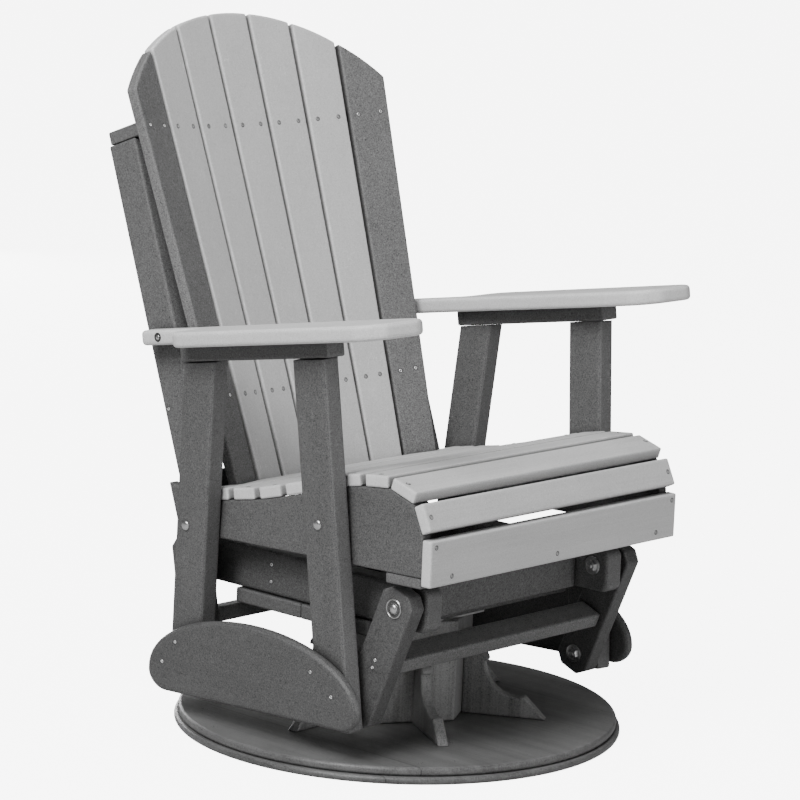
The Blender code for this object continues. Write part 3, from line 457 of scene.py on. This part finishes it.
def build_finishes():
    """Every board, base and steel finish, one each."""
    finishes["seat_board"] = lumber_finish("seat_board_finish", pale_tone, ACROSS_CHAIR, streak=0.16)
    # The back slats' edges take a stronger painted highlight
    finishes["back_board"] = lumber_finish("back_board_finish", pale_tone, UP_THE_BACK, edge_pale_and_highlight_gain=0.95)
    finishes["arm_board"] = lumber_finish("arm_board_finish", arm_tone, ALONG_CHAIR, streak=0.14)
    finishes["dark_back_board"] = dark_finish("dark_back_board_finish", UP_THE_BACK, dark_back_tone)
    finishes["brace_board"] = dark_finish("brace_board_finish", UP_THE_BACK, brace_tone)
    # Painted light: the legs' front and back faces are painted paler
    finishes["leg_board"] = dark_finish("leg_board_finish", UPRIGHT, end_and_facing_light_gain=leg_front_painted_light_gain,
                                        facing_light_turn=ALONG_CHAIR)
    finishes["panel_board"] = dark_finish("panel_board_finish", ALONG_CHAIR, panel_tone)
    finishes["support_board"] = dark_finish("support_board_finish", ALONG_CHAIR, support_tone)
    finishes["frame_board"] = dark_finish("frame_board_finish", ALONG_CHAIR)
    finishes["cross_board"] = dark_finish("cross_board_finish", ACROSS_CHAIR)
    finishes["bar_board"] = dark_finish("bar_board_finish", ACROSS_CHAIR, bar_tone)
    finishes["link_board"] = dark_finish("link_board_finish", UPRIGHT, link_tone)
    for name, seam in (("upper_disc", upper_disc_seam), ("lower_disc", lower_disc_seam)):
        # Painted light: the discs' tops are painted paler than their rims
        finishes[name + "_board"] = base_finish(name + "_finish", disc_tone, ALONG_CHAIR, seam,
                                                disc_top_painted_light_gain, UPRIGHT)
    finishes["column_board"] = base_finish("column_finish", column_painted_light_tone, UPRIGHT)
    finishes["bracket_board"] = base_finish("bracket_finish", bracket_painted_light_tone, UPRIGHT)
    finishes["plate_steel"] = steel_finish("bearing_plate_finish", plate_tone, plate_dull)
    finishes["bolt_steel"] = steel_finish("bolt_steel_finish", bolt_tone, bolt_dull)
    finishes["screw_steel"] = steel_finish("screw_steel_finish", screw_tone, screw_dull)
    # A darker copy of the screw steel, as painted shade
    finishes["pale_screw_steel"] = steel_finish("pale_screw_shaded_steel_finish", pale_screw_shaded_tone, pale_screw_dull)
    finishes["countersink"] = recess_shade_finish("recess_shade_finish", recess_shade_tone)
    finishes["cap_floor"] = recess_shade_finish("cap_dish_shade_finish", cap_dish_shade_tone)
    finishes["pale_countersink"] = recess_shade_finish("pale_recess_shade_finish", pale_recess_shade_tone)


def dark_finish(name, turn, tone=dark_tone, end_and_facing_light_gain=0.30, facing_light_turn=None):
    """The dark lumber of the frame, with stronger flecks than the pale boards."""
    return lumber_finish(name, tone, turn, fleck=1.45, streak=0.14, cloud=0.10, edge_pale_and_highlight_gain=0.65,
                         flecks_per_metre=500.0, dull=0.50, relief=0.5, end_and_facing_light_gain=end_and_facing_light_gain,
                         facing_light_turn=facing_light_turn)


def base_finish(name, tone, turn, seam_place=None, end_and_facing_light_gain=0.10, facing_light_turn=None):
    """The base's lumber, which shows drawn-out streaks along its planks."""
    # Weaker painted shade in the base's crevices
    return lumber_finish(name, tone, turn, fleck=0.90, streak=0.65, cloud=0.34, edge_pale_and_highlight_gain=0.16,
                         dull=0.34, crevice_shade_depth=0.45, end_and_facing_light_gain=end_and_facing_light_gain, facing_light_turn=facing_light_turn, seam_place=seam_place)


NODE_FINISHES = (
    ("seat_slat_", "seat_board"), ("seat_apron", "seat_board"), ("seat_rail_", "frame_board"),
    ("seat_front_board", "cross_board"), ("front_leg_", "leg_board"), ("rear_leg_", "leg_board"),
    ("side_panel_", "panel_board"), ("arm_support_", "support_board"), ("arm_", "arm_board"),
    ("back_brace_", "brace_board"), ("back_top_rail", "cross_board"),
    ("back_low_rail", "cross_board"), ("back_foot_rail", "cross_board"),
    ("back_slat_1", "dark_back_board"), ("back_slat_7", "dark_back_board"),
    ("back_slat_", "back_board"), ("front_link_bar", "bar_board"), ("rear_link_bar", "bar_board"),
    ("front_link_", "link_board"), ("rear_link_", "link_board"), ("carriage_side_", "frame_board"),
    ("carriage_cross_", "cross_board"), ("platform_board_", "cross_board"),
    ("base_bracket_", "bracket_board"), ("base_column", "column_board"),
    ("base_upper_disc", "upper_disc_board"), ("base_lower_disc", "lower_disc_board"),
    ("bearing_", "plate_steel"),
)


def dress_nodes():
    """Give each solid the finish of its kind of board."""
    for name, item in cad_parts.items():
        label = next(finish for start, finish in NODE_FINISHES if name.startswith(start))
        item.data.materials.clear()
        item.data.materials.append(finishes[label])


# Fasteners: turned heads that are set down on the boards

def turned(profile, sides=24, closed=False):
    """A head turned about Z: rows of radius, height and hexagon share, at equal turns.

    A share of 1 pulls the circle in to a hexagon with the same corners, 0 leaves it round.
    """
    rows = np.array(profile, dtype=float)
    angles = np.arange(sides) * 2 * math.pi / sides
    sixth = math.pi / 3
    hexagon = math.cos(sixth / 2) / np.cos(np.mod(angles, sixth) - sixth / 2)
    radius = rows[:, :1] * (1 + rows[:, 2:3] * (hexagon[None, :] - 1))
    points = np.stack([radius * np.cos(angles), radius * np.sin(angles),
                       np.repeat(rows[:, 1:2], sides, axis=1)], axis=2).reshape(-1, 3)
    count = len(rows)
    faces = []
    last = count if closed else count - 1
    ring = np.arange(sides)
    after = (ring + 1) % sides
    for k in range(last):
        low, high = k * sides, ((k + 1) % count) * sides
        faces += np.stack([low + ring, low + after, high + after, high + ring], axis=1).tolist()
    if not closed:
        faces += [list(reversed(range(sides))), list(range((count - 1) * sides, count * sides))]
    return points, faces


def screw_head_shape():
    """A low dome with a six-lobed recess: depth falls where the radius is inside the lobes' curve."""
    sides = 24
    radii = np.array([1.0, 1.0, 0.93, 0.72, 0.56, 0.42, 0.26]) * screw_radius
    heights = np.array([-0.4, 0.25, 0.55, 0.75, 0.8, 0.8, 0.8]) * 0.001
    points, faces = turned([(r, z, 0) for r, z in zip(radii, heights)], sides)
    angles = np.arctan2(points[:, 1], points[:, 0])
    reach = np.hypot(points[:, 0], points[:, 1])
    lobe = screw_radius * (0.50 + 0.12 * np.cos(6 * angles))
    sunk = np.clip((lobe - reach) / (0.1 * screw_radius) + 0.5, 0, 1) * 0.0011
    points[:, 2] -= np.where(points[:, 2] > 0, sunk, 0)
    return points, faces


def screw_ring_shape():
    """A thin ring that lies on the board round a screw, dark with the painted shade of its countersink."""
    return turned([(screw_radius * 0.9, -0.0002, 0), (screw_ring_radius, -0.0002, 0),
                   (screw_ring_radius, 0.00006, 0), (screw_radius * 1.02, 0.00018, 0),
                   (screw_radius * 0.9, 0.00018, 0)], 24, closed=True)


def bolt_head_shape():
    """A tall dome on a short straight rim."""
    rows = [(1.0, -0.0005, 0), (1.0, 0.0008, 0)]
    rows += [(math.cos(a), 0.0008 + 0.0034 * math.sin(a), 0) for a in np.linspace(0.15, 1.5, 7)]
    return turned([(r * bolt_radius, z, share) for r, z, share in rows], 32)


def tail_well_shape():
    """The mouth of a counterbore, dark with painted shade: a low ring that falls towards its middle."""
    rows = [(0.3, -0.0002), (1.0, -0.0002), (1.0, 0.0003), (0.93, 0.0005), (0.85, 0.0002), (0.3, 0.0001)]
    return turned([(r * tail_well_radius, z, 0) for r, z in rows], 32, closed=True)


def tail_stud_shape():
    """The bolt's end in the middle of its counterbore: a low dome with a socket."""
    rows = [(1.0, -0.0002), (1.0, 0.0006), (0.86, 0.0011), (0.55, 0.0013), (0.48, 0.0004), (0.1, 0.0004)]
    return turned([(r * tail_stud_radius, z, 0) for r, z in rows], 24)


def pivot_cap_shape():
    """A dished washer with a bright rim and a domed bolt head in its middle."""
    rows = [(1.0, -0.0005), (1.0, 0.0014), (0.965, 0.0019), (0.90, 0.0019), (0.83, 0.0010), (0.60, 0.0008),
            (0.545, 0.0009), (0.54, 0.0030), (0.50, 0.0042), (0.40, 0.0053), (0.27, 0.0060), (0.12, 0.0064)]
    return turned([(r * washer_radius, z, 0) for r, z in rows], 40)


def pivot_dish_shape():
    """Painted shade in the pivot cap's dish: a low dark ring between its rim and its dome."""
    rows = [(0.58, 0.0005), (0.86, 0.0005), (0.86, 0.0015), (0.72, 0.0011), (0.58, 0.0011)]
    return turned([(r * washer_radius, z, 0) for r, z in rows], 40, closed=True)


def pivot_nut_shape():
    """A washer, a six-sided nut with a turned chamfer and a rounded bolt end."""
    rows = [(0.0160, -0.0005, 0), (0.0160, 0.0014, 0), (0.0154, 0.0018, 0), (0.0112, 0.0018, 0),
            (0.0108, 0.0020, 0.2), (0.0108, 0.0024, 1), (0.0108, 0.0066, 1), (0.0094, 0.0074, 0.3),
            (0.0066, 0.0075, 0), (0.0056, 0.0064, 0), (0.0050, 0.0064, 0), (0.0050, 0.0082, 0),
            (0.0036, 0.0090, 0), (0.0014, 0.0092, 0)]
    return turned(rows, 36)


def plate_nut_shape():
    """A small washer and nut for the platform's bolts."""
    rows = [(0.0090, -0.0005, 0), (0.0090, 0.0010, 0), (0.0086, 0.0013, 0), (0.0066, 0.0013, 0),
            (0.0066, 0.0016, 1), (0.0066, 0.0050, 1), (0.0056, 0.0057, 0.3), (0.0034, 0.0057, 0),
            (0.0030, 0.0076, 0), (0.0012, 0.0080, 0)]
    return turned(rows, 24)


def sight(nodes):
    """A search tree over the faces of some solids."""
    corners, faces = [], []
    for name in nodes:
        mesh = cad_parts[name].data
        start = len(corners)
        corners += [vertex.co.copy() for vertex in mesh.vertices]
        faces += [[start + index for index in face.vertices] for face in mesh.polygons]
    return BVHTree.FromPolygons(corners, faces)


def landing(tree, start, direction):
    """The first face met from a start along a direction: its place and its outward normal."""
    way = Vector(direction).normalized()
    place, normal, _, _ = tree.ray_cast(Vector(start), way, sight_run)
    if place is None:
        raise RuntimeError("no face below the fastener at " + str(tuple(start)))
    if normal.dot(way) > 0:
        normal = -normal
    return place, normal


def set_down(shape, seats):
    """Copies of a head, each with its axis on its seat's normal, worked out as one array."""
    points, faces = shape
    frames = []
    for k, (place, normal) in enumerate(seats):
        spin = Matrix.Rotation(head_turn_step * k, 3, "Z")
        frames.append((np.array(normal.to_track_quat("Z", "Y").to_matrix() @ spin), np.array(place)))
    axes = np.stack([axis for axis, _ in frames])
    places = np.stack([place for _, place in frames])
    copies = np.einsum("kij,pj->kpi", axes, points) + places[:, None, :]
    count = len(points)
    joined = [[index + count * k for index in face] for k in range(len(seats)) for face in faces]
    return copies.reshape(-1, 3), joined


def shaped_piece(name, points, faces, finish, body, slot):
    """A mesh from arrays, smooth but for its sharp rims, that rides on a body."""
    mesh = bpy.data.meshes.new(name)
    mesh.from_pydata(points.tolist(), [], faces)
    mesh.materials.append(finishes[finish])
    mesh.shade_smooth()
    mesh.set_sharp_from_angle(angle=math.radians(sharp_rim_deg))
    mesh.update()
    item = bpy.data.objects.new(name, mesh)
    bpy.context.scene.collection.objects.link(item)
    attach(item, body)


def screws(name, seats, body, tint=""):
    """Star-drive screws with rings of painted countersink shade, in dark boards or, with a tint, in pale
    ones, where the heads take a darker steel as painted shade.
    """
    shaped_piece(name + "_screws", *set_down(screw_head_shape(), seats), tint + "screw_steel", body, "steel")
    shaped_piece(name + "_screw_rim_shades", *set_down(screw_ring_shape(), seats), tint + "countersink", body,
                 "dark_board")


def side_seats(nodes, places, x_start, inward=True):
    """Seats met from both sides of the chair, at places along it and up it."""
    tree = sight(nodes)
    seats = []
    for side in (RIGHT, LEFT):
        for y, z in places:
            seats.append(landing(tree, (side * x_start, y, z), (-side if inward else side, 0, 0)))
    return seats


def back_screw_seats(slats):
    """Two screws through each of some back slats at each rail."""
    tree = sight(["back_slat_%d" % (k + 1) for k in slats])
    forward = Vector((0, -math.cos(recline), math.sin(recline)))
    upward = Vector((0, math.sin(recline), math.cos(recline)))
    foot = Vector((0, *back_foot))
    seats = []
    for row, pitch, spread in ((row_low, pitch_low, row_low_spread), (row_high, pitch_high, row_high_spread)):
        for k in slats:
            for offset in (-spread, spread):
                across = (k - slat_count // 2) * pitch
                x = back_bow_radius * math.sin(across / back_bow_radius) + offset
                start = foot + upward * row + forward * back_stand_off + Vector((x, 0, 0))
                seats.append(landing(tree, start, -forward))
    return seats


def seat_screw_seats():
    """One screw at each end of every seat slat, and the apron's row."""
    seats = []
    for k in range(1, seat_slat_count + 1):
        low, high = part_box("seat_slat_%d" % k)
        tree = sight(["seat_slat_%d" % k])
        middle_y, middle_z = (low[1] + high[1]) / 2, (low[2] + high[2]) / 2
        way = Vector((0, 1, -nose_screw_slope) if k == seat_slat_count else (0, 0, -1)).normalized()
        for side in (RIGHT, LEFT):
            start = Vector((side * rail_screw_x, middle_y, middle_z)) - way * seat_stand_off
            seats.append(landing(tree, start, way))
    tree = sight(["seat_apron"])
    for x, z in apron_screws:
        for side in ((RIGHT, LEFT) if x else (LEFT,)):
            seats.append(landing(tree, (side * x, apron_start_y, z), (0, 1, 0)))
    return seats


def link_bar_seats(end):
    """Two screws through each link into the end of its bar."""
    upper, lower = Vector(upper_pivots[end]), Vector(lower_pivots[end])
    along = (upper - lower).normalized()
    places = [tuple(lower + along * reach) for reach in bar_screw_reaches]
    return side_seats(["%s_link_right" % end, "%s_link_left" % end], places, bar_screw_start_x)


def seat_link_fasteners():
    """Pivot caps outside the links' upper ends, nuts inside their lower ends, and the bars' screws."""
    for end in ("front", "rear"):
        links = ["%s_link_right" % end, "%s_link_left" % end]
        body = end + "_links"
        caps = side_seats(links, [upper_pivots[end]], cap_start_x)
        nuts = side_seats(links, [lower_pivots[end]], nut_start_x, inward=False)
        shaped_piece(end + "_pivot_caps", *set_down(pivot_cap_shape(), caps), "bolt_steel", body, "steel")
        # Painted shade in each cap's dish
        shaped_piece(end + "_pivot_dish_shades", *set_down(pivot_dish_shape(), caps), "cap_floor", body, "steel")
        shaped_piece(end + "_pivot_nuts", *set_down(pivot_nut_shape(), nuts), "bolt_steel", body, "steel")
        screws(end + "_link_bar", link_bar_seats(end), body)


def seat_body_fasteners():
    """Screws and bolts of the seat, back, legs, panels, braces and arms."""
    screws("back_middle", back_screw_seats(range(1, slat_count - 1)), "seat", "pale_")
    screws("back_edge", back_screw_seats((0, slat_count - 1)), "seat")
    screws("seat", seat_screw_seats(), "seat", "pale_")
    legs = ["%s_leg_%s" % (end, name) for end in ("front", "rear") for name in SIDE_NAMES.values()]
    bolts = side_seats(legs, leg_bolts, side_start_x)
    shaped_piece("leg_bolts", *set_down(bolt_head_shape(), bolts), "bolt_steel", "seat", "steel")
    panels = ["side_panel_right", "side_panel_left"]
    screws("panel", side_seats(panels, panel_screws, side_start_x), "seat")
    braces = ["back_brace_right", "back_brace_left"]
    screws("brace", side_seats(braces, brace_screws, side_start_x), "seat")
    tails = side_seats(["arm_right", "arm_left"], [tail_bolt], side_start_x)
    # Painted shade in the counterbores round the tail bolts
    shaped_piece("arm_tail_well_shades", *set_down(tail_well_shape(), tails), "countersink", "seat", "dark_board")
    shaped_piece("arm_tail_bolts", *set_down(tail_stud_shape(), tails), "bolt_steel", "seat", "steel")


def carriage_fasteners():
    """Screws through the side boards and nuts on the platform."""
    sides = ["carriage_side_right", "carriage_side_left"]
    screws("carriage", side_seats(sides, side_board_screws, carriage_start_x), "carriage")
    tree = sight(["platform_board_front", "platform_board_rear"])
    nuts = [landing(tree, (x, y, platform_start_z), (0, 0, -1)) for x, y in platform_bolts]
    shaped_piece("platform_nuts", *set_down(plate_nut_shape(), nuts), "bolt_steel", "carriage", "steel")
    ends = side_seats(sides, upper_pivots.values(), carriage_nut_start_x, inward=False)
    shaped_piece("carriage_pivot_nuts", *set_down(pivot_nut_shape(), ends), "bolt_steel", "carriage", "steel")


# Studio: floor, light and camera

def build_floor():
    """A wide pale disc: radius grows by equal ratios, angle by equal steps."""
    sides, rings = floor_sides, floor_rings
    radii = np.geomspace(floor_middle_radius, floor_radius, rings)
    angles = np.arange(sides) * 2 * math.pi / sides
    grid = np.stack([radii[:, None] * np.cos(angles), radii[:, None] * np.sin(angles),
                     np.zeros((rings, sides))], axis=2).reshape(-1, 3)
    ring = np.arange(sides)
    faces = [list(range(sides))]
    for k in range(rings - 1):
        low, high = k * sides, (k + 1) * sides
        after = (ring + 1) % sides
        faces += np.stack([low + ring, high + ring, high + after, low + after], axis=1).tolist()
    mesh = bpy.data.meshes.new("studio_floor")
    mesh.from_pydata(grid.tolist(), [], faces)
    mesh.materials.append(floor_finish())
    item = bpy.data.objects.new("studio_floor", mesh)
    bpy.context.scene.collection.objects.link(item)


def area_light(name, place, size, power):
    """A square soft light aimed at the chair's middle."""
    lamp = bpy.data.lights.new(name, "AREA")
    lamp.shape = "SQUARE"
    lamp.size = size
    lamp.energy = power
    item = bpy.data.objects.new(name, lamp)
    way = Vector((0, 0, aim_height)) - Vector(place)
    item.matrix_world = Matrix.Translation(place) @ way.to_track_quat("-Z", "Y").to_matrix().to_4x4()
    bpy.context.scene.collection.objects.link(item)


def build_light():
    """A faint sky, soft lights on the sitter's right, above, in front and low behind.

    The sky is as pale as the floor where it is looked at directly.
    """
    world = bpy.data.worlds.new("studio_sky")
    world.use_nodes = True
    sky = world.node_tree.nodes["Background"]
    sky.inputs["Color"].default_value = grey(1.0)
    seen = world.node_tree.nodes.new("ShaderNodeLightPath")
    glow = world.node_tree.nodes.new("ShaderNodeMath")
    glow.operation = "MULTIPLY_ADD"
    glow.inputs[1].default_value = floor_glow
    glow.inputs[2].default_value = sky_strength
    world.node_tree.links.new(seen.outputs["Is Camera Ray"], glow.inputs[0])
    world.node_tree.links.new(glow.outputs["Value"], sky.inputs["Strength"])
    bpy.context.scene.world = world
    area_light("side_light", side_place, side_size, side_power)
    area_light("high_light", high_place, high_size, high_power)
    area_light("front_light", front_place, front_size, front_power)
    area_light("top_light", top_place, top_size, top_power)
    area_light("rear_light", rear_place, rear_size, rear_power)


def build_camera():
    """The picture's own viewpoint: yaw and pitch give the sight line, roll turns the frame about it."""
    cosine, sine = math.cos(camera_pitch_down), math.sin(camera_pitch_down)
    ahead = Vector((-math.sin(camera_yaw) * cosine, math.cos(camera_yaw) * cosine, -sine))
    level = ahead.cross(Vector((0, 0, 1))).normalized()
    up = level.cross(ahead)
    right = level * math.cos(camera_roll) + up * math.sin(camera_roll)
    above = up * math.cos(camera_roll) - level * math.sin(camera_roll)
    lens = bpy.data.cameras.new("picture_view")
    lens.sensor_width = sensor_width
    lens.lens = focal_px / picture_width_px * sensor_width
    lens.clip_end = 4 * floor_radius
    item = bpy.data.objects.new("picture_view", lens)
    turn = Matrix((right, above, -ahead)).transposed().to_4x4()
    item.matrix_world = Matrix.Translation(camera_place) @ turn
    bpy.context.scene.collection.objects.link(item)
    bpy.context.scene.camera = item


def main():
    """Dress the solids, seat the fasteners and set up the studio."""
    build_camera()
    build_effects()
    build_finishes()
    dress_nodes()
    seat_link_fasteners()
    seat_body_fasteners()
    carriage_fasteners()
    build_floor()
    build_light()


main()
